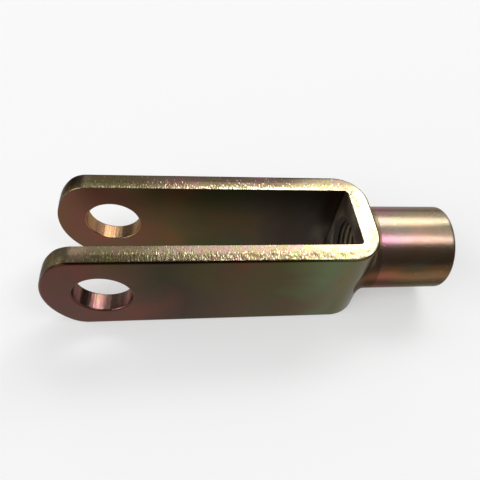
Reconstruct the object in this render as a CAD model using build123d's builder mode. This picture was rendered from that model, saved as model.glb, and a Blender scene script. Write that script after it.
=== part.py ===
from build123d import *
import os

# Clevis rod end: a forked end for an adjustable linkage rod.
# A steel strap is blanked, punched and bent into a U, and a turned boss is brazed to its back
# and tapped. Millimetres. The origin lies on the pin axis, midway between the two ears and
# midway up them: +X runs from the pin along the rod, Y along the pin, +Z up.

# Strap
strap_width = 25.4
strap_thickness = 4.76
edge_roll = 0.5             # rounding that blanking leaves along the strap's outer skin

# Fork bent from the strap
jaw_gap = 18.0              # clear width between the ears
jaw_depth = 61.0            # pin axis to the floor of the jaw
outer_bend_radius = 8.5
inner_bend_radius = 1.0

# Ends of the ears
ear_overhang = 13.8         # pin axis to the tip
ear_crown = 6.6             # rise of the tip's arc above a square end
ear_corner_radius = 6.0

# Pin holes, a free fit on a 12.7 mm pin
pin_hole_diameter = 13.5
pin_hole_lead = 0.4         # rounding-in of the punched edge, as a short cone

# Boss
boss_diameter = 22.2
boss_length = 21.5          # floor of the seat to the mouth
boss_edge_break = 0.5

# Rod thread, 5/8-18: the bore is modelled at the size it has at the thread's crests
thread_bore_diameter = 14.5
thread_mouth_diameter = 16.8
tap_runout = 0.1            # how far the jaw-side countersink runs into the inner bends

# Worked out from the above
outer_width = jaw_gap + 2 * strap_thickness
half_width = strap_width / 2
ear_tip_x = -ear_overhang
back_x = jaw_depth + strap_thickness
mouth_x = back_x + boss_length
bore_radius = thread_bore_diameter / 2
mouth_radius = thread_mouth_diameter / 2
boss_radius = boss_diameter / 2
countersink_depth = mouth_radius - bore_radius

os.makedirs("parts", exist_ok=True)

# Outer skin of the bent strap, seen from above. The yoke is cut from it, and the boss is
# hollowed to it where it seats on the back and the two bends.
with BuildSketch() as bent_outline:
    with Locations((ear_tip_x, 0)):
        Rectangle(back_x - ear_tip_x, outer_width, align=(Align.MIN, Align.CENTER))
    fillet(bent_outline.vertices().group_by(Axis.X)[-1], outer_bend_radius)

# Yoke: the strap, bent round the jaw
with BuildPart() as yoke:
    extrude(bent_outline.sketch, amount=half_width, both=True)

    # Both ears are cropped to one shallow arc with rounded corners
    with BuildSketch(Plane.XZ) as side_profile:
        with BuildLine():
            strap_edges = Polyline(
                (ear_tip_x + ear_crown, half_width),
                (back_x, half_width),
                (back_x, -half_width),
                (ear_tip_x + ear_crown, -half_width),
            )
            ThreePointArc(strap_edges @ 1, (ear_tip_x, 0), strap_edges @ 0)
        make_face()
        fillet(side_profile.vertices().group_by(Axis.X)[0], ear_corner_radius)
    extrude(amount=outer_width / 2, both=True, mode=Mode.INTERSECT)

    # Blanking rounds the whole border of the outer skin: the ears' outlines and the bends
    ear_borders = yoke.faces().filter_by(Axis.Y).edges().filter_by(Axis.Z, reverse=True)
    bend_borders = yoke.faces().filter_by(Axis.Z).edges().filter_by(GeomType.CIRCLE)
    back_borders = yoke.faces().sort_by(Axis.X)[-1].edges().filter_by(Axis.Y)
    fillet(ear_borders + bend_borders + back_borders, edge_roll)

    # Jaw
    with BuildSketch() as jaw:
        with Locations((ear_tip_x, 0)):
            Rectangle(jaw_depth - ear_tip_x, jaw_gap, align=(Align.MIN, Align.CENTER))
        fillet(jaw.vertices().group_by(Axis.X)[-1], inner_bend_radius)
    extrude(amount=half_width, both=True, mode=Mode.SUBTRACT)

    # Pin holes, punched from each ear's outer face
    with Locations(Plane.XZ.offset(outer_width / 2), Plane.ZX.offset(outer_width / 2)):
        CounterSinkHole(
            radius=pin_hole_diameter / 2,
            counter_sink_radius=pin_hole_diameter / 2 + pin_hole_lead,
            depth=outer_width / 2,
            counter_sink_angle=90,
        )

    # Tapped hole through the back, countersunk on the jaw side
    with BuildSketch(Plane.XZ):
        with BuildLine():
            Polyline(
                (jaw_depth - tap_runout, 0),
                (jaw_depth - tap_runout, mouth_radius + tap_runout),
                (jaw_depth + countersink_depth, bore_radius),
                (back_x, bore_radius),
                (back_x, 0),
                close=True,
            )
        make_face()
    revolve(axis=Axis.X, mode=Mode.SUBTRACT)

# Threaded boss: turned from round bar, seated on the yoke's back and brazed
with BuildPart() as threaded_boss:
    with BuildSketch(Plane.XZ):
        with BuildLine():
            Polyline(
                (jaw_depth, bore_radius),
                (mouth_x - countersink_depth, bore_radius),
                (mouth_x, mouth_radius),
                (mouth_x, boss_radius - boss_edge_break),
                (mouth_x - boss_edge_break, boss_radius),
                (jaw_depth, boss_radius),
                close=True,
            )
        make_face()
    revolve(axis=Axis.X)

    # The seat takes the form of the back and the start of both bends
    extrude(bent_outline.sketch, amount=boss_diameter, both=True, mode=Mode.SUBTRACT)

yoke.part.label = "yoke"
threaded_boss.part.label = "threaded_boss"
export_step(yoke.part, "parts/yoke.step")
export_step(threaded_boss.part, "parts/threaded_boss.step")
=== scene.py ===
from math import atan2, ceil, copysign, cos, hypot, pi, radians, sin, sqrt, tan, tau

import bmesh
import bpy
from mathutils import Matrix, Vector, noise


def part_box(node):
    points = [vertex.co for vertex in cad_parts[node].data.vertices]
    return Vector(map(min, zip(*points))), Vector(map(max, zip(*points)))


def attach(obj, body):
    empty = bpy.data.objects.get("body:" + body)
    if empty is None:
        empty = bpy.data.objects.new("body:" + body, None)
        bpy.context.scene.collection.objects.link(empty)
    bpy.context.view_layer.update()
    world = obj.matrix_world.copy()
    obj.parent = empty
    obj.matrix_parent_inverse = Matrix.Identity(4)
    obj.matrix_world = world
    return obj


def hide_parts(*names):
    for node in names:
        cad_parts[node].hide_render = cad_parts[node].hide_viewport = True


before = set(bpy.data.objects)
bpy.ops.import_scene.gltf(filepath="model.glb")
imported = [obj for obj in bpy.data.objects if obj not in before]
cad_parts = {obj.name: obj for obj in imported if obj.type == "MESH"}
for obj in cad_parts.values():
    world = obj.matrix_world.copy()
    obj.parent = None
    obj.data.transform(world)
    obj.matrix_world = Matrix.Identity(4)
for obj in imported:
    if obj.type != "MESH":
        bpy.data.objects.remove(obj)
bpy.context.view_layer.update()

# ----------------------------------------------------------------------------------------
# Yoke: one length of low-carbon steel strap, blanked to length with rounded ears, punched
# for the pin and bent over a block to a U. Its edges keep the tearing of the shear, and
# the whole part is zinc plated and dipped in yellow chromate.
# ----------------------------------------------------------------------------------------
MM = 0.001
strap_thickness = 4.76 * MM
outer_bend_radius = 8.5 * MM
inner_bend_radius = 1.0 * MM
straight_run = 6 * MM           # how much of each ear counts with the bend
ear_crown = 6.6 * MM
ear_corner_radius = 6.0 * MM
pin_hole_radius = 6.75 * MM
pin_hole_lead = 0.4 * MM        # how deep the punch drags the edge of the hole in
lead_spread = 1.4               # how much wider than deep that rounding is
hole_exit = 0.25 * MM           # rounding of the hole where the punch breaks out
edge_roll = 0.5 * MM            # rounding that the blanking die leaves on the outer skin
edge_break = 0.1 * MM           # what is left of the burr on the inner skin
support = 0.15 * MM             # ring of skin that keeps the shading of the flats flat
mesh_step = 0.155 * MM          # spacing of the points along the sheared edge
weld = mesh_step / 10           # points closer than this are one point
wall_rings = 16                 # rings through the thickness of a sheared edge
roll_rings = 5
exit_rings = 4
lead_rings = 8
lead_on_skin = 5                # the rings of the lead that look like skin, not like wall
hole_zone = 1.5 * pin_hole_radius       # what lies nearer a hole than this belongs to it

yoke_low, yoke_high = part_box("yoke")
half_width = yoke_high.z
half_outer = yoke_high.y
half_gap = half_outer - strap_thickness
back_x = yoke_high.x
floor_x = back_x - strap_thickness
tip_x = yoke_low.x

# The blank lies flat along X, its middle at 0, with its inner skin down. What lies between
# -bend_half and bend_half becomes the back and both bends, and the rest stays straight.
bend_start_x = floor_x - straight_run
outer_back = half_outer - outer_bend_radius
inner_back = half_gap - inner_bend_radius
outer_run = outer_back + outer_bend_radius * pi / 2 + back_x - outer_bend_radius - bend_start_x
inner_run = inner_back + inner_bend_radius * pi / 2 + floor_x - inner_bend_radius - bend_start_x
bend_half = (outer_run + inner_run) / 2
hole_at = bend_half + bend_start_x
tip_at = hole_at - tip_x

crown_radius = (half_width**2 + ear_crown**2) / (2 * ear_crown)
crown_at = tip_at - crown_radius
corner_rise = half_width - ear_corner_radius
corner_reach = sqrt((crown_radius - ear_corner_radius) ** 2 - corner_rise**2)
corner_at = crown_at + corner_reach
crown_turn = atan2(corner_rise, corner_reach)

SKIN, SHEARED, PUNCHED, INNER_SKIN = range(4)


def pieces_in(length):
    """How many pieces of about one mesh step a line of that length divides into."""
    return ceil(length / mesh_step)


def walls_of(bm, face, steps, slot, keep=False):
    """Carries a flat face through (inset, rise) steps, and leaves the walls behind it.

    keep leaves the face that it starts from in place, as the shape's other end.
    """
    for inset, rise in steps:
        before = set(bm.faces)
        if inset:
            bmesh.ops.inset_region(
                bm,
                faces=[face],
                thickness=inset,
                depth=rise,
                use_boundary=True,
                use_even_offset=True,
            )
        else:
            base = face
            made = bmesh.ops.extrude_face_region(bm, geom=[base])["geom"]
            face = next(part for part in made if isinstance(part, bmesh.types.BMFace))
            if not keep:
                bmesh.ops.delete(bm, geom=[base], context="FACES_ONLY")
            keep = False
            bmesh.ops.translate(bm, verts=face.verts, vec=face.normal * rise)
        for wall in set(bm.faces) - before:
            wall.material_index = slot
    return face


def rounding(radius, rings):
    """(inset, rise) steps that take a wall over a quarter round on to the skin."""
    turns = [pi / 2 * ring / rings for ring in range(rings + 1)]
    return [
        (radius * (cos(a) - cos(b)), radius * (sin(b) - sin(a)))
        for a, b in zip(turns, turns[1:])
    ]


bm = bmesh.new()

# A quarter of the outline: from the tip, over the crown and the corner, and along the edge
# past the start of the bend to the middle
end = bm.verts.new((tip_at, 0, 0))
for length, turn, middle in (
    (crown_turn * crown_radius, crown_turn, (crown_at, 0, 0)),
    ((pi / 2 - crown_turn) * ear_corner_radius, pi / 2 - crown_turn, (corner_at, corner_rise, 0)),
    (corner_at - bend_half, 0, (0, 0, 0)),
    (bend_half, 0, (0, 0, 0)),
):
    steps = pieces_in(length)
    run = bmesh.ops.spin(
        bm,
        geom=[end],
        cent=middle,
        axis=(0, 0, 1),
        angle=turn,
        dvec=(0 if turn else -length / steps, 0, 0),
        steps=steps,
    )
    end = run["geom_last"][0]
for axis in "YX":
    bmesh.ops.mirror(bm, geom=bm.verts[:] + bm.edges[:], axis=axis, merge_dist=0)
bmesh.ops.remove_doubles(bm, verts=bm.verts, dist=weld)
outline = bmesh.ops.contextual_create(bm, geom=bm.edges)["faces"][0]
if outline.normal.z < 0:
    outline.normal_flip()

# The edge goes up from the inner skin to the outer one
wall_height = strap_thickness - edge_roll - edge_break
bmesh.ops.translate(bm, verts=bm.verts, vec=(0, 0, edge_break))
rings = [(0, wall_height / wall_rings)] * wall_rings
top = walls_of(bm, outline, rings, SHEARED, keep=True)
top = walls_of(bm, top, rounding(edge_roll, roll_rings), SKIN)
top = walls_of(bm, top, [(support, 0)], SKIN)
bottom = min(bm.faces, key=lambda face: (face.calc_center_median().z, -len(face.verts)))
bottom = walls_of(bm, bottom, [(edge_break, edge_break)], SHEARED)
bottom = walls_of(bm, bottom, [(support, 0)], SKIN)
bmesh.ops.delete(bm, geom=[top, bottom], context="FACES_ONLY")

# The pin holes go down from the outer skin to the inner one
wall_depth = strap_thickness - pin_hole_lead - hole_exit
lead = [(run * lead_spread, rise) for rise, run in rounding(pin_hole_lead, lead_rings)]
leaving = [(-run, rise) for run, rise in rounding(hole_exit, exit_rings)]
for at in (hole_at, -hole_at):
    ring = bmesh.ops.create_circle(
        bm,
        cap_ends=True,
        radius=pin_hole_radius + pin_hole_lead * lead_spread + support,
        segments=pieces_in(tau * pin_hole_radius),
        matrix=Matrix.Translation((at, 0, strap_thickness)),
    )
    rim = ring["verts"][0].link_faces[0]
    if rim.normal.z > 0:
        rim.normal_flip()
    for rings, slot in (
        ([(support, 0)], SKIN),
        (lead[:lead_on_skin], SKIN),
        (lead[lead_on_skin:], PUNCHED),
        ([(0, wall_depth / wall_rings)] * wall_rings, PUNCHED),
        (leaving, PUNCHED),
        ([(-support, 0)], SKIN),
    ):
        rim = walls_of(bm, rim, rings, slot)
    bmesh.ops.delete(bm, geom=[rim], context="FACES_ONLY")

# Both skins: a strip of narrow faces where the strap bends, and a fill on each ear
for height, margin in ((0, edge_break + support), (strap_thickness, edge_roll + support)):
    spread = Matrix.Diagonal((bend_half, half_width - margin, 1, 1))
    bmesh.ops.create_grid(
        bm,
        x_segments=2 * pieces_in(bend_half),
        y_segments=1,
        size=1,
        matrix=Matrix.Translation((0, 0, height)) @ spread,
    )
bmesh.ops.remove_doubles(bm, verts=bm.verts, dist=weld)
for height in (0, strap_thickness):
    for side in (-1, 1):
        painted_border_shade = [
            edge
            for edge in bm.edges
            if edge.is_boundary
            and all(
                abs(vert.co.z - height) < weld and side * vert.co.x > bend_half - weld
                for vert in edge.verts
            )
        ]
        bmesh.ops.triangle_fill(bm, use_beauty=True, edges=painted_border_shade)
bmesh.ops.recalc_face_normals(bm, faces=bm.faces)

# What the shear and the punch leave: half of the thickness is burnished smooth by the blade
# and half breaks away at a slight angle, with fine ridges through the thickness. On one ear
# it breaks towards the outer skin and on the other towards the inner one. Heights across
# the edge are shares of the thickness.
break_line = 0.50
break_slant = 0.12              # how far the line climbs from one ear to the other
break_angle = radians(4)
break_blend = 8 * MM            # the break changes sides over this much of the back
tooth_pitch = 1.7 * MM
tooth_height = 0.2
tick_height = 0.14
tear_blend = 0.1
tip_tear = 0.4                  # how much an ear's tip is torn, where 1 is the bend
fray_start, fray_full = 0.78, 0.97
fray_height = 0.12
ridge_pitch = 0.40 * MM
ridge_depth = 0.075 * MM
ridge_length = 6                # how much longer than wide the ridges run
ridge_base = 0.2
splinter_share = 0.5            # the finer ridges on the ridges
splinter_ratio = 2.3
burnish_depth = 0.012 * MM
hole_streak = 0.03 * MM
scallop_pitch = 1.3 * MM
scallop_depth = 0.06 * MM
scallop_start, scallop_full = 35 * MM, 55 * MM      # from the tip
scallop_calm = 0.5              # how much they wear the ridges down
wave_pitch = 11 * MM
wave_depth = 0.06 * MM
edge_hold = 0.1                 # the roughness fades out this near to either skin
blank = bm.verts.layers.float_vector.new("blank")
torn = bm.verts.layers.float.new("torn")
frayed = bm.verts.layers.float.new("frayed")


def smooth_step(low, high, value):
    """Goes smoothly from 0 at low to 1 at high."""
    share = min(max((value - low) / (high - low), 0), 1)
    return share * share * (3 - 2 * share)


def outward(x, y):
    """The way out of the flat blank from a point near its edge."""
    past, aside = abs(x) - corner_at, abs(y) - corner_rise
    if past <= 0:
        way = (0, aside)
    elif atan2(aside, past) > crown_turn:
        way = (past, aside)
    else:
        way = (abs(x) - crown_at, abs(y))
    return Vector((copysign(way[0], x), copysign(way[1], y), 0)).normalized()


for vert in bm.verts:
    vert[blank] = vert.co / MM
    if hypot(abs(vert.co.x) - hole_at, vert.co.y) < hole_zone:
        continue
    broken = vert.co.z if vert.co.x < 0 else strap_thickness - vert.co.z
    broken = max(broken - break_line * strap_thickness, 0) * tan(break_angle)
    broken *= min(1, abs(vert.co.x) / break_blend)
    vert.co -= outward(vert.co.x, vert.co.y) * broken
bm.normal_update()
for vert in bm.verts:
    slots = {face.material_index for face in vert.link_faces}
    if len(slots) > 1 or SKIN in slots:
        continue
    across = vert.co.z / strap_thickness
    if vert.co.x > 0 or PUNCHED in slots:
        across = 1 - across
    along = Vector((vert.co.x, vert.co.y, 0))
    tick = noise.noise(along / ridge_pitch)
    if PUNCHED in slots:
        ridges = hole_streak * tick
    else:
        tooth = noise.noise(along / tooth_pitch)
        line = break_line + break_slant * min(max(vert.co.x / bend_half, -1), 1)
        line += tooth_height * tooth + tick_height * tick
        tear = smooth_step(-tear_blend, tear_blend, across - line)
        bite = tip_tear + (1 - tip_tear) * smooth_step(tip_at, bend_half, abs(vert.co.x))
        vert[torn] = tear * bite
        vert[frayed] = smooth_step(fray_start, fray_full, across + fray_height * tooth) * bite
        flow = Vector((vert.co.x, vert.co.y, vert.co.z / ridge_length)) / ridge_pitch
        ridges = abs(noise.noise(flow)) - ridge_base
        ridges += splinter_share * noise.noise(flow * splinter_ratio)
        ridges *= burnish_depth + (ridge_depth - burnish_depth) * tear * bite
        scallops = smooth_step(scallop_start, scallop_full, tip_at - abs(vert.co.x))
        ridges *= 1 - scallop_calm * scallops
        ridges += scallop_depth * tear * scallops * noise.noise(vert.co / scallop_pitch)
    waves = noise.noise(vert.co / wave_pitch) * wave_depth
    fade = min(1, across / edge_hold, (1 - across) / edge_hold)
    vert.co += vert.normal * (waves + ridges) * fade


def bent_path(run, back, radius, face_x):
    """Where a run along one skin comes to, from the middle of the back round the bend."""
    arc = radius * pi / 2
    angle = min(max(run - back, 0), arc) / radius
    straight = max(run - back - arc, 0)
    along = face_x - radius * (1 - cos(angle)) - straight
    return along, min(run, back) + radius * sin(angle)


for vert in bm.verts:
    side = 1 if vert.co.x > 0 else -1
    share = abs(vert.co.x) / bend_half
    depth = vert.co.z / strap_thickness
    if share < 1:
        inner = bent_path(share * inner_run, inner_back, inner_bend_radius, floor_x)
        outer = bent_path(share * outer_run, outer_back, outer_bend_radius, back_x)
        along, aside = (a + (b - a) * depth for a, b in zip(inner, outer))
    else:
        along = hole_at - abs(vert.co.x)
        aside = half_gap + vert.co.z
    vert.co = (along, side * aside, vert.co.y)

for face in bm.faces:
    if face.material_index == SKIN and all(vert[blank].z < weld / MM for vert in face.verts):
        face.material_index = INNER_SKIN


sharp_angle = radians(32)       # edges that turn more than this stay sharp


def new_piece(name, bm, materials):
    """Turns a bmesh into an object at the origin that shades smooth up to sharp edges."""
    mesh = bpy.data.meshes.new(name)
    bm.to_mesh(mesh)
    bm.free()
    for material in materials:
        mesh.materials.append(material)
    mesh.shade_smooth()
    mesh.set_sharp_from_angle(angle=sharp_angle)
    piece = bpy.data.objects.new(name, mesh)
    bpy.context.scene.collection.objects.link(piece)
    return piece


# The tap's 5/8-18 thread, cut through the back and the boss in one go
thread_pitch = 25.4 / 18 * MM
thread_minor = 7.25 * MM        # both are radii
thread_major = 7.94 * MM
half_root = 1 / 16              # of a pitch
flank_run = 5 / 16
mouth_radius = 8.4 * MM
boss_low, boss_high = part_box("threaded_boss")
mouth_x = boss_high.x
tap_overrun = 0.6 * MM
tap_segments = 96
rings_per_turn = 12


def thread_radius(x, angle):
    """The wall of the thread, opened to a cone at the jaw's floor and at the mouth."""
    turn = (x / thread_pitch - angle / tau) % 1
    flank = min(max((abs(turn - 0.5) - half_root) / flank_run, 0), 1)
    cone = mouth_radius - min(x - floor_x, mouth_x - x)
    return max(thread_major - (thread_major - thread_minor) * flank, cone)


def cut_thread(piece):
    """Takes the tapped hole out of a piece and closes what is left."""
    bm = bmesh.new()
    start = bmesh.ops.create_circle(
        bm,
        cap_ends=True,
        radius=thread_minor,
        segments=tap_segments,
        matrix=Matrix.Translation((floor_x - tap_overrun, 0, 0)) @ Matrix.Rotation(pi / 2, 4, "Y"),
    )
    face = start["verts"][0].link_faces[0]
    if face.normal.x < 0:
        face.normal_flip()
    step = thread_pitch / rings_per_turn
    rings = ceil((mouth_x - floor_x + 2 * tap_overrun) / step)
    walls_of(bm, face, [(0, step)] * rings, 0, keep=True)
    for vert in bm.verts:
        angle = atan2(vert.co.z, vert.co.y)
        radius = thread_radius(vert.co.x, angle)
        vert.co = (vert.co.x, radius * cos(angle), radius * sin(angle))
    bmesh.ops.recalc_face_normals(bm, faces=bm.faces)
    tap = new_piece("tap", bm, [tapped_thread])
    cut = piece.modifiers.new("tapped_hole", "BOOLEAN")
    cut.object = tap
    cut.solver = "EXACT"
    cut.material_mode = "TRANSFER"
    graph = bpy.context.evaluated_depsgraph_get()
    mesh = bpy.data.meshes.new_from_object(piece.evaluated_get(graph))
    piece.modifiers.clear()
    piece.data = mesh
    bpy.data.objects.remove(tap)


# The finish: bright zinc under a yellow chromate film, which takes its hue from how thick
# it dried. peel is the faint unevenness of the zinc, where nothing rougher lies under it.
patch_size = 15 * MM
patch_shift = 0.2
peel_pitch = 1.6 * MM
peel_depth = 0.012 * MM
film_drift = [(0.36, "#92796f"), (0.5, "#7d7d7b"), (0.64, "#74846c")]


def linear(tone):
    """A hex sRGB colour as the linear values that a shader takes."""
    parts = [int(tone[at : at + 2], 16) / 255 for at in (1, 3, 5)]
    return [c / 12.92 if c <= 0.04045 else ((c + 0.055) / 1.055) ** 2.4 for c in parts] + [1]


def new_finish(name):
    """A material with nothing in it yet."""
    material = bpy.data.materials.new(name)
    material.use_nodes = True
    material.node_tree.nodes.clear()
    return material


def add(material, kind, inputs=None, stops=(), **settings):
    """Adds one node and returns its outputs.

    settings are the node's own, inputs are values or sockets for its inputs, and stops are
    a colour ramp's, as (place, hex colour).
    """
    node = material.node_tree.nodes.new(kind)
    for name, setting in settings.items():
        setattr(node, name, setting)
    for name, given in (inputs or {}).items():
        if isinstance(given, bpy.types.NodeSocket):
            material.node_tree.links.new(given, node.inputs[name])
        else:
            node.inputs[name].default_value = given
    if stops:
        elements = node.color_ramp.elements
        while len(elements) < len(stops):
            elements.new(1)
        for element, (place, tone) in zip(elements, stops):
            element.position = place
            element.color = linear(tone)
    return node.outputs


def plated(material, tones, shine, drift=film_drift, run=("X", tip_x, mouth_x), layers=()):
    """Ends a material with its plating and its film, and returns it.

    tones run over the part between two places on one axis, and drift are the browns and
    greens that wander over them in soft patches. layers are (share, way, colour) laid over
    both, and shine is what else goes into the shader.
    """
    axis, start, end = run
    place = add(material, "ShaderNodeTexCoord")["Object"]
    soft = {"Scale": 1 / patch_size, "Detail": 2.0, "Roughness": 0.45, "Distortion": 0.6}
    patches = add(material, "ShaderNodeTexNoise", {"Vector": place, **soft})["Fac"]
    along = add(
        material,
        "ShaderNodeMapRange",
        {
            "Value": add(material, "ShaderNodeSeparateXYZ", {0: place})[axis],
            "From Min": start,
            "From Max": end,
            "To Min": -patch_shift / 2,
            "To Max": 1 - patch_shift / 2,
        },
    )["Result"]
    wander = add(
        material, "ShaderNodeMath", {0: patches, 1: patch_shift, 2: along}, operation="MULTIPLY_ADD"
    )["Value"]
    colour = add(material, "ShaderNodeValToRGB", {"Fac": wander}, tones)["Color"]
    hues = add(material, "ShaderNodeValToRGB", {"Fac": patches}, drift)["Color"]
    for share, way, tone in ((1.0, "SOFT_LIGHT", hues), *layers):
        colour = add(
            material,
            "ShaderNodeMix",
            {0: share, 6: colour, 7: tone},
            data_type="RGBA",
            blend_type=way,
        )[2]
    surface = {"Base Color": colour, "Metallic": 0.95, **shine}
    if "Normal" not in shine:
        fine = {"Scale": 1 / peel_pitch, "Detail": 3.0}
        peel = add(material, "ShaderNodeTexNoise", {"Vector": place, **fine})["Fac"]
        bump = {"Height": peel, "Distance": peel_depth, "Strength": 1.0}
        surface["Normal"] = add(material, "ShaderNodeBump", bump)["Normal"]
    shader = add(material, "ShaderNodeBsdfPrincipled", surface)["BSDF"]
    add(material, "ShaderNodeOutputMaterial", {"Surface": shader})
    return material


def along_x(*stops):
    """Places given in millimetres from the pin's axis, as shares of the part's length."""
    return [((x * MM - tip_x) / (mouth_x - tip_x), tone) for x, tone in stops]


def streaked(material, pitch, length):
    """Noise over the flat blank at that pitch in millimetres, drawn out through the thickness."""
    flat = add(material, "ShaderNodeAttribute", attribute_name="blank")["Vector"]
    scale = (1 / pitch, 1 / pitch, 1 / pitch / length)
    drawn = add(material, "ShaderNodeVectorMath", {0: flat, 1: scale}, operation="MULTIPLY")
    fine = {"Scale": 1.0, "Detail": 2.0}
    return add(material, "ShaderNodeTexNoise", {"Vector": drawn["Vector"], **fine})["Fac"]


# Outer skin, as the mill rolled it: a satin shine that goes from plum at the ears through
# olive to green at the bend. Over the rolled border, and round the holes, its colour is
# darkened as painted shade, which fades out towards the bend.
border_start, border_full = 0.03, 0.26              # millimetres below the flat of the skin
bend_fade_start, bend_fade_full = 50 * MM, 60 * MM      # from the pin's axis
outer_skin = new_finish("rolled_steel_yellow_chromate_outside")
flat = add(outer_skin, "ShaderNodeAttribute", attribute_name="blank")["Vector"]
place = add(outer_skin, "ShaderNodeTexCoord")["Object"]
height = add(outer_skin, "ShaderNodeSeparateXYZ", {0: flat})["Z"]
reach = add(outer_skin, "ShaderNodeSeparateXYZ", {0: place})["X"]
skin_height = strap_thickness / MM
painted_border_shade, shade_before_bend = (
    add(
        outer_skin, "ShaderNodeMapRange", {"Value": value, "From Min": none, "From Max": full}
    )["Result"]
    for value, none, full in (
        (height, skin_height - border_start, skin_height - border_full),
        (reach, bend_fade_full, bend_fade_start),
    )
)
painted_border_shade = add(outer_skin, "ShaderNodeMath", {0: painted_border_shade, 1: shade_before_bend}, operation="MULTIPLY")
plated(
    outer_skin,
    along_x(
        (-13, "#784b3e"),
        (4, "#785140"),
        (16, "#4d412b"),
        (32, "#6b5334"),
        (44, "#685832"),
        (54, "#7a8060"),
        (62, "#80764e"),
    ),
    {"Roughness": 0.30},
    # painted shade over the rolled border and round the holes, none at the bend
    layers=[(painted_border_shade["Value"], "MULTIPLY", linear("#808480"))],
)

# Inner skin: the same rolled face, but duller down the jaw, where the bath plates thin and the
# film crazes, and dullest at the bend. Its tones go browner down the jaw, painted shade darkens
# the tight crease of the bend, and the back of the jaw is painted pale as painted light.
crease_shade_depth = 2.5 * MM
crazed_depth = 2.0 * MM
inner_roughness = 0.34
crazed_roughness = 0.5
inner_skin = new_finish("rolled_steel_yellow_chromate_inside")
place = add(inner_skin, "ShaderNodeTexCoord")["Object"]
reach = add(inner_skin, "ShaderNodeSeparateXYZ", {0: place})["X"]
crease_shade, crazed = (
    add(
        inner_skin,
        "ShaderNodeMapRange",
        {"Value": reach, "From Min": start, "From Max": floor_x, "To Min": low, "To Max": high},
    )["Result"]
    for start, low, high in (
        (floor_x - crease_shade_depth, 0, 1),
        (floor_x - crazed_depth, inner_roughness, crazed_roughness),
    )
)
# painted shade in the tight crease of the bend
crease_shade_stops = [(0.3, "#ffffff"), (0.6, "#a09c96"), (0.98, "#a09c96"), (1, "#ffffff")]
crease_shade = add(inner_skin, "ShaderNodeValToRGB", {"Fac": crease_shade}, crease_shade_stops)["Color"]
plated(
    inner_skin,
    along_x(
        (-13, "#936558"),
        (4, "#8d6b55"),
        (14, "#806e4a"),
        (24, "#6e613f"),
        (36, "#645d46"),
        (48, "#5a4640"),
        (54, "#594b47"),
        # dark at the bend as painted shade, pale on the back of the jaw as painted light
        (59, "#7b7065"),
        (63, "#c4bcac"),
    ),
    {"Roughness": crazed},
    layers=[(1.0, "MULTIPLY", crease_shade)],
)

# Sheared edge: bright crests, worn back to the zinc and painted as glints, in the brown of
# the valleys. These painted glints stand thickest along the torn far side, and fine grain
# splits what the edge mirrors into separate glints, with pink and green flakes of film between.
# The grain is drawn coarser than the real one, which would be too fine to see.
cut_tint = linear("#a8a49c")
grain_pitch = 0.32              # millimetres, as the blank attribute is
grain_length = 4
grain_depth = 0.085 * MM
glint_pitch = 0.26
glint_length = 3.2
glint_low, glint_high = 0.63, 0.76
# the share of painted glint that the brightest crests get
glint_share = 0.8               # how much of the film is worn off at most
flake_pitch = 1.3
flake_length = 1.4
sheared_edge = new_finish("sheared_edge_yellow_chromate")
place = add(sheared_edge, "ShaderNodeTexCoord")["Object"]
spot = add(sheared_edge, "ShaderNodeSeparateXYZ", {0: place})
tearing = add(sheared_edge, "ShaderNodeAttribute", attribute_name="torn")["Fac"]
fraying = add(sheared_edge, "ShaderNodeAttribute", attribute_name="frayed")["Fac"]
glints_along, colouring, roughening, calming, deepening, across = (
    add(
        sheared_edge,
        "ShaderNodeMapRange",
        {"Value": value, "From Min": start, "From Max": end, "To Min": low, "To Max": high},
    )["Result"]
    for value, start, end, low, high in (
        # fewer painted glints at the tips
        (spot["X"], -6 * MM, 22 * MM, 0.4, 1.0),        # the tips' crests are worn less
        (spot["X"], tip_x, 45 * MM, 0.15, 1.0),         # flakes colour more near the bend
        (spot["X"], -5 * MM, 20 * MM, 0.5, 1.0),        # the grain is shallow at the tips,
        (spot["X"], 22 * MM, 42 * MM, 1.0, 0.35),       # where the scallops are,
        (tearing, 0, 1, 0.3, 1.0),                      # and on what the blade burnished
        (spot["Y"], yoke_low.y, yoke_high.y, 0, 1),     # one ear is greyer than the other
    )
)
painted_glints = streaked(sheared_edge, glint_pitch, glint_length)
for weight, mask in ((0.11, tearing), (0.18, fraying)):
    raised = {0: mask, 1: weight, 2: painted_glints}
    painted_glints = add(sheared_edge, "ShaderNodeMath", raised, operation="MULTIPLY_ADD")["Value"]
painted_glints = add(
    sheared_edge,
    "ShaderNodeMapRange",
    {"Value": painted_glints, "From Min": glint_low, "From Max": glint_high, "To Max": glint_share},
    interpolation_type="SMOOTHSTEP",
)["Result"]
painted_glints = add(sheared_edge, "ShaderNodeMath", {0: painted_glints, 1: glints_along}, operation="MULTIPLY")["Value"]
flakes = add(
    sheared_edge,
    "ShaderNodeValToRGB",
    {"Fac": streaked(sheared_edge, flake_pitch, flake_length)},
    [(0.38, "#d8a8b4"), (0.46, "#b8b4b8"), (0.54, "#d0b488"), (0.62, "#b0c490")],
)["Color"]
sides = add(
    sheared_edge,
    "ShaderNodeValToRGB",
    {"Fac": across},
    [(0, "#d8d4c8"), (0.05, "#fffff8"), (0.85, "#f4f4e4"), (0.90, "#b4b0a8"), (1, "#aca4a8")],
)["Color"]
for fading in (roughening, calming):
    deeper = {0: deepening, 1: fading}
    deepening = add(sheared_edge, "ShaderNodeMath", deeper, operation="MULTIPLY")["Value"]
grain = {
    "Height": streaked(sheared_edge, grain_pitch, grain_length),
    "Distance": grain_depth,
    "Strength": deepening,
}
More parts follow.
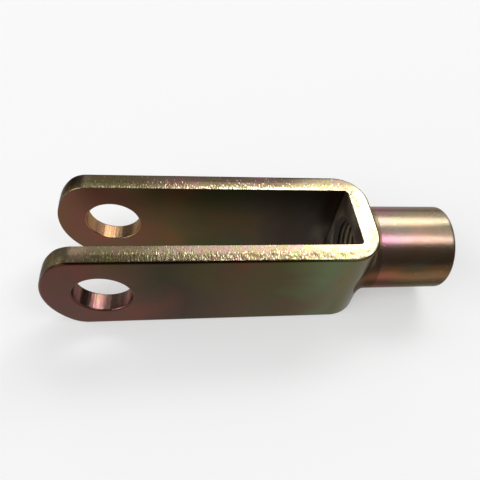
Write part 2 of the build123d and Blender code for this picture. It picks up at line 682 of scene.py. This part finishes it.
plated(
    sheared_edge,
    along_x(
        (-13, "#6c685a"),
        (-10.5, "#7c7868"),
        (-8.5, "#a8a48e"),
        (-6, "#aaa48f"),
        (-2, "#9a937e"),
        (9, "#948a7a"),
        (15, "#a0998f"),
        (22, "#a0968f"),
        (29, "#9c918e"),
        (36, "#a29a93"),
        (44, "#a8a298"),
        (52, "#bcb8ac"),
        (60, "#d0cec2"),
        (66, "#ece8dc"),
    ),
    {
        "Roughness": 0.28,
        "Specular Tint": cut_tint,
        "Normal": add(sheared_edge, "ShaderNodeBump", grain)["Normal"],
    },
    drift=[(0.36, "#957585"), (0.5, "#807e7c"), (0.64, "#7c826c")],
    layers=[
        (colouring, "SOFT_LIGHT", flakes),
        (1.0, "MULTIPLY", sides),
        (tearing, "MULTIPLY", linear("#e4dec4")),
        # painted glints: bright flecks mixed in as worn crests
        (painted_glints, "MIX", linear("#f0e8c8")),
    ],
)

# Punched wall: the punch drags streaks down the wall of the hole, which mirror as pink and
# brass stripes. They too are drawn coarser than they are.
drag_pitch = 0.55
drag_length = 8
drag_depth = 0.035 * MM
punched_wall = new_finish("punched_hole_yellow_chromate")
stripes = add(
    punched_wall,
    "ShaderNodeValToRGB",
    {"Fac": streaked(punched_wall, drag_pitch, drag_length)},
    [(0.38, "#d89cb0"), (0.48, "#b4b0b4"), (0.56, "#c8bc9c"), (0.66, "#e8e0c8")],
)["Color"]
drag = {
    "Height": streaked(punched_wall, drag_pitch / 2, drag_length),
    "Distance": drag_depth,
    "Strength": 1.0,
}
plated(
    punched_wall,
    [(0.0, "#9c8080"), (0.6, "#ac947c"), (1.0, "#b4a288")],
    {
        "Roughness": 0.27,
        "Specular Tint": cut_tint,
        "Normal": add(punched_wall, "ShaderNodeBump", drag)["Normal"],
    },
    run=("Y", yoke_low.y, yoke_high.y),
    layers=[(0.6, "SOFT_LIGHT", stripes)],
)

# Tapped thread: the bath hardly reaches in, so the film is thin and dull over grey steel. Its
# colour is painted pale as painted light against the shade of the bore, and darker at the jaw's
# end as painted shade.
tapped_thread = plated(
    new_finish("tapped_thread_yellow_chromate"),
    # pale in the bore as painted light, dark at the jaw's end as painted shade
    [(0.0, "#5c544c"), (0.05, "#5c544c"), (0.12, "#b0a490"), (1.0, "#b0a490")],
    {"Roughness": 0.7, "Metallic": 0.6},
    run=("X", floor_x, mouth_x),
)

yoke = new_piece("bent_strap", bm, [outer_skin, sheared_edge, punched_wall, inner_skin])
cut_thread(yoke)
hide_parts("yoke")
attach(yoke, "root")

# ----------------------------------------------------------------------------------------
# Threaded boss: a length of round bar, turned all over, brazed on to the yoke's back and
# then drilled and tapped through into the jaw. The braze leaves a small hollow fillet.
# ----------------------------------------------------------------------------------------
boss_radius = (boss_high.y - boss_low.y) / 2
boss_edge_break = 0.5 * MM
boss_segments = 240
break_rings = 4
turned_rings = 40
fillet_top = 1.0 * MM
fillet_side = 1.7 * MM
fillet_rings = 8
seat_radii = (10.6 * MM, 9.2 * MM, 6.9 * MM)    # the last is inside the thread, so the tap
                                                # takes the closing face away

TURNED, BRAZED = range(2)


def skin_x(y):
    """Where the strap's outer skin lies at that distance from the middle of the back."""
    past = min(max(abs(y) - outer_back, 0), outer_bend_radius)
    return back_x - outer_bend_radius + sqrt(outer_bend_radius**2 - past**2)


bm = bmesh.new()
mouth = bmesh.ops.create_circle(
    bm,
    cap_ends=True,
    radius=boss_radius - boss_edge_break,
    segments=boss_segments,
    matrix=Matrix.Translation((mouth_x, 0, 0)) @ Matrix.Rotation(-pi / 2, 4, "Y"),
)
face = mouth["verts"][0].link_faces[0]
if face.normal.x > 0:
    face.normal_flip()
lead = [(-run, rise) for rise, run in rounding(boss_edge_break, break_rings)]
face = walls_of(bm, face, [(0, 0)], TURNED, keep=True)
face = walls_of(bm, face, lead, TURNED)
turned_length = mouth_x - boss_edge_break - back_x - fillet_side
face = walls_of(bm, face, [(0, turned_length / turned_rings)] * turned_rings, TURNED)

# The fillet is carried down on to the strap in rings, and the seat goes on under it
rings = [(radians(90 * step / fillet_rings), None) for step in range(fillet_rings + 1)]
rings += [(None, radius) for radius in seat_radii]
for swept, seat in rings:
    face = walls_of(bm, face, [(0, 0)], BRAZED)
    for vert in face.verts:
        angle = atan2(vert.co.z, vert.co.y)
        fillet = fillet_top + (fillet_side - fillet_top) * cos(angle) ** 2
        radius = seat
        rise = 0
        if seat is None:
            radius = boss_radius + fillet * (1 - cos(swept))
            rise = fillet * (1 - sin(swept))
        across = radius * cos(angle)
        vert.co = (skin_x(across) + rise, across, radius * sin(angle))
bmesh.ops.recalc_face_normals(bm, faces=bm.faces)

# The tones of the film round the bar go from its lower side to its top, with painted
# reflections in them: dark and light bands round the bar, lighter towards its top.
boss_run = ("Z", -boss_radius, boss_radius)
boss_tint = linear("#ccc8c0")
boss_tones_and_painted_bands = [
    (0.0, "#8c7045"),
    (0.46, "#6c5a48"),
    (0.56, "#9f7868"),
    (0.61, "#94725e"),
    (0.66, "#745c48"),
    (0.71, "#665a54"),
    (0.77, "#887970"),
    (0.84, "#a39088"),
    (0.91, "#b8a8a8"),
    (1.0, "#aea498"),
]

# Braze: brass run into the corner and plated with the rest, so it shows only as a slightly
# duller and browner fillet
braze = plated(
    new_finish("brass_braze_yellow_chromate"),
    boss_tones_and_painted_bands,
    {"Roughness": 0.34, "Specular Tint": boss_tint},
    run=boss_run,
    layers=[(1.0, "MULTIPLY", linear("#d8d0bc"))],
)

# Turned face: fine turning rings draw what the boss mirrors into clear bands along it. The
# film dried pink towards the yoke and yellow towards the mouth, in drawn-out patches, and
# the far side is darker and greener, as painted shade. A few nicks show bright zinc.
film_patch = 9 * MM
film_run = (0.12, 1, 1)         # the patches are drawn out along the boss
film_spread = 1.5               # how far the patches swing its hues
film_lean = 0.35                # how far those shift from the yoke to the mouth
ring_pitch = 0.14 * MM
ring_depth = 0.006 * MM
pit_size = 0.5 * MM
pit_share = 3.0                 # how much deeper the pits are than the rings
nick_size = 0.35 * MM
nick_lean = 0.1                 # how much more of them there are near the mouth
nick_low, nick_high = 0.715, 0.745
turned_face = new_finish("turned_bar_yellow_chromate")
place = add(turned_face, "ShaderNodeTexCoord")["Object"]
spot = add(turned_face, "ShaderNodeSeparateXYZ", {0: place})
along, far_side_shade, outer = (
    add(
        turned_face,
        "ShaderNodeMapRange",
        {"Value": value, "From Min": start, "From Max": end, "To Min": low, "To Max": high},
    )["Result"]
    for value, start, end, low, high in (
        (spot["X"], back_x, mouth_x, -film_lean, film_lean),
        # painted shade: the far side darker and greener, most of all near the mouth
        (spot["Y"], 1 * MM, 7 * MM, 0, 1),              # the film is greener behind,
        (spot["X"], back_x, mouth_x, 0.3, 1.0),         # most of all near the mouth
    )
)
far_side_shade = add(turned_face, "ShaderNodeMath", {0: far_side_shade, 1: outer}, operation="MULTIPLY")["Value"]
drawn = {0: place, 1: [share / film_patch for share in film_run]}
drawn = add(turned_face, "ShaderNodeVectorMath", drawn, operation="MULTIPLY")["Vector"]
ringed = add(turned_face, "ShaderNodeCombineXYZ", {"X": spot["X"]})["Vector"]
patches, rings, pits, nicks = (
    add(turned_face, "ShaderNodeTexNoise", {"Vector": vector, "Scale": scale, **detail})["Fac"]
    for vector, scale, detail in (
        (drawn, 1.0, {"Detail": 3.0}),
        (ringed, 1 / ring_pitch, {"Detail": 2.0}),
        (place, 1 / pit_size, {"Detail": 3.0}),
        (place, 1 / nick_size, {"Detail": 3.0, "Distortion": 1.5}),
    )
)
flow, turning, nicks = (
    add(turned_face, "ShaderNodeMath", dict(enumerate(terms)), operation="MULTIPLY_ADD")["Value"]
    for terms in (
        (patches, film_spread, along),
        (pits, pit_share, rings),
        (along, nick_lean, nicks),
    )
)
hues = [(0.42, "#d8a2c8"), (0.57, "#c4b6ba"), (0.72, "#c0bea8"), (1.0, "#b6c2ae")]
hues = add(turned_face, "ShaderNodeValToRGB", {"Fac": flow}, hues)["Color"]
nicks = add(
    turned_face, "ShaderNodeMapRange", {"Value": nicks, "From Min": nick_low, "From Max": nick_high}
)["Result"]
turning = {"Height": turning, "Distance": ring_depth, "Strength": 1.0}
plated(
    turned_face,
    boss_tones_and_painted_bands,
    {
        "Roughness": 0.26,
        "Specular Tint": boss_tint,
        "Normal": add(turned_face, "ShaderNodeBump", turning)["Normal"],
    },
    run=boss_run,
    layers=[
        (1.0, "SOFT_LIGHT", hues),
        # painted shade over the far side
        (far_side_shade, "MULTIPLY", linear("#b0b898")),
        (nicks, "MIX", linear("#f4f0e0")),
    ],
)

boss = new_piece("brazed_boss", bm, [turned_face, braze])
cut_thread(boss)
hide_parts("threaded_boss")
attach(boss, "root")

# ----------------------------------------------------------------------------------------
# Floor: a plain matt sheet that the yoke lies on with one edge. The paper's own white keeps
# the shadow, and its glow, which only the view and the metal's mirrors see, whitens it.
# ----------------------------------------------------------------------------------------
floor_half = 2.5                # metres
whitening = 0.45
bm = bmesh.new()
bmesh.ops.create_grid(
    bm, x_segments=1, y_segments=1, size=floor_half, matrix=Matrix.Translation((0, 0, yoke_low.z))
)

# Uncoated paper, pressed smooth: no shine at all
paper = new_finish("matt_white_paper")
matt = {"Base Color": linear("#f9f9f9"), "Roughness": 1.0, "Specular IOR Level": 0.0}
matt = add(paper, "ShaderNodeBsdfPrincipled", matt)["BSDF"]
glow = {"Color": linear("#ffffff"), "Strength": 1.0}
glow = add(paper, "ShaderNodeEmission", glow)["Emission"]
rays = add(paper, "ShaderNodeLightPath")
seen = rays["Is Camera Ray"]
for step, by in (
    ("MAXIMUM", rays["Is Glossy Ray"]),
    ("MAXIMUM", rays["Is Transmission Ray"]),
    ("MULTIPLY", whitening),
):
    seen = add(paper, "ShaderNodeMath", {0: seen, 1: by}, operation=step)["Value"]
sheet = add(paper, "ShaderNodeMixShader", {0: seen, 1: matt, 2: glow})["Shader"]
add(paper, "ShaderNodeOutputMaterial", {"Surface": sheet})

floor = new_piece("floor", bm, [paper])

# ----------------------------------------------------------------------------------------
# Lamps: three soft boxes behind and to the right are the windows that the edges and the
# boss mirror, three dim ones stand between them, a wide one lights the ears from the left,
# and the room gives a low even light.
# ----------------------------------------------------------------------------------------
lamp_distance = 1.6

# Azimuths go from +Y towards +X. Each lamp is so many degrees wide and high, seen from the
# part, and so bright.
for name, azimuth, elevation, width, height, radiance in (
    ("window", 40, 45.5, 22, 23, 5.4),
    ("window_left", 13, 54, 16, 13, 5.4),
    ("window_top", 119, 56, 14, 20, 5.0),
    ("left_card", -14, 43, 20, 24, 1.2),
    ("low_card", 32, 18, 50, 20, 0.9),
    ("haze", 84, 60, 24, 20, 1.0),
    ("left_fill", 256, 32, 76, 36, 3.4),
):
    a, e = radians(azimuth), radians(elevation)
    towards = Vector((sin(a) * cos(e), cos(a) * cos(e), sin(e)))
    lamp = bpy.data.lights.new(name, "AREA")
    lamp.shape = "RECTANGLE"
    lamp.size = 2 * lamp_distance * sin(radians(width / 2))
    lamp.size_y = 2 * lamp_distance * sin(radians(height / 2))
    lamp.energy = radiance * pi * lamp.size * lamp.size_y      # its watts
    holder = bpy.data.objects.new(name, lamp)
    holder.location = towards * lamp_distance
    holder.rotation_euler = towards.to_track_quat("Z", "Y").to_euler()
    holder.visible_camera = False
    bpy.context.scene.collection.objects.link(holder)

room = bpy.data.worlds.new("room")
bpy.context.scene.world = room
room.use_nodes = True
room.node_tree.nodes["Background"].inputs["Color"].default_value = linear("#656565")

# ----------------------------------------------------------------------------------------
# Camera: above the jaw's open side and to the front, as a part is held to look at it, and
# so near that the front ear shows larger than the one behind.
# ----------------------------------------------------------------------------------------
heading = 0.225                 # radians, from +Y towards +X
dip = 0.890                     # how far it looks down
roll = 0.169
camera_distance = 112.5 * MM
camera_target = Vector((37.0, 0.61, 0.48)) * MM
focal_pixels = 426
frame_pixels = 480
shift_right = 15                # pixels that the part stands off the middle of the frame
shift_down = 5

forward = Vector((sin(heading) * cos(dip), cos(heading) * cos(dip), -sin(dip)))
level = Vector((cos(heading), -sin(heading), 0))
upright = level.cross(forward)
right = cos(roll) * level + sin(roll) * upright
up = -sin(roll) * level + cos(roll) * upright
lens = bpy.data.cameras.new("camera")
lens.sensor_width = 36
lens.lens = focal_pixels / frame_pixels * lens.sensor_width
lens.shift_x = -shift_right / frame_pixels
lens.shift_y = shift_down / frame_pixels
lens.clip_start = 10 * MM
camera = bpy.data.objects.new("camera", lens)
turned = Matrix((right, up, -forward)).transposed().to_4x4()
camera.matrix_world = Matrix.Translation(camera_target - forward * camera_distance) @ turned
bpy.context.scene.collection.objects.link(camera)
bpy.context.scene.camera = camera
bpy.context.scene.view_settings.view_transform = "Standard"
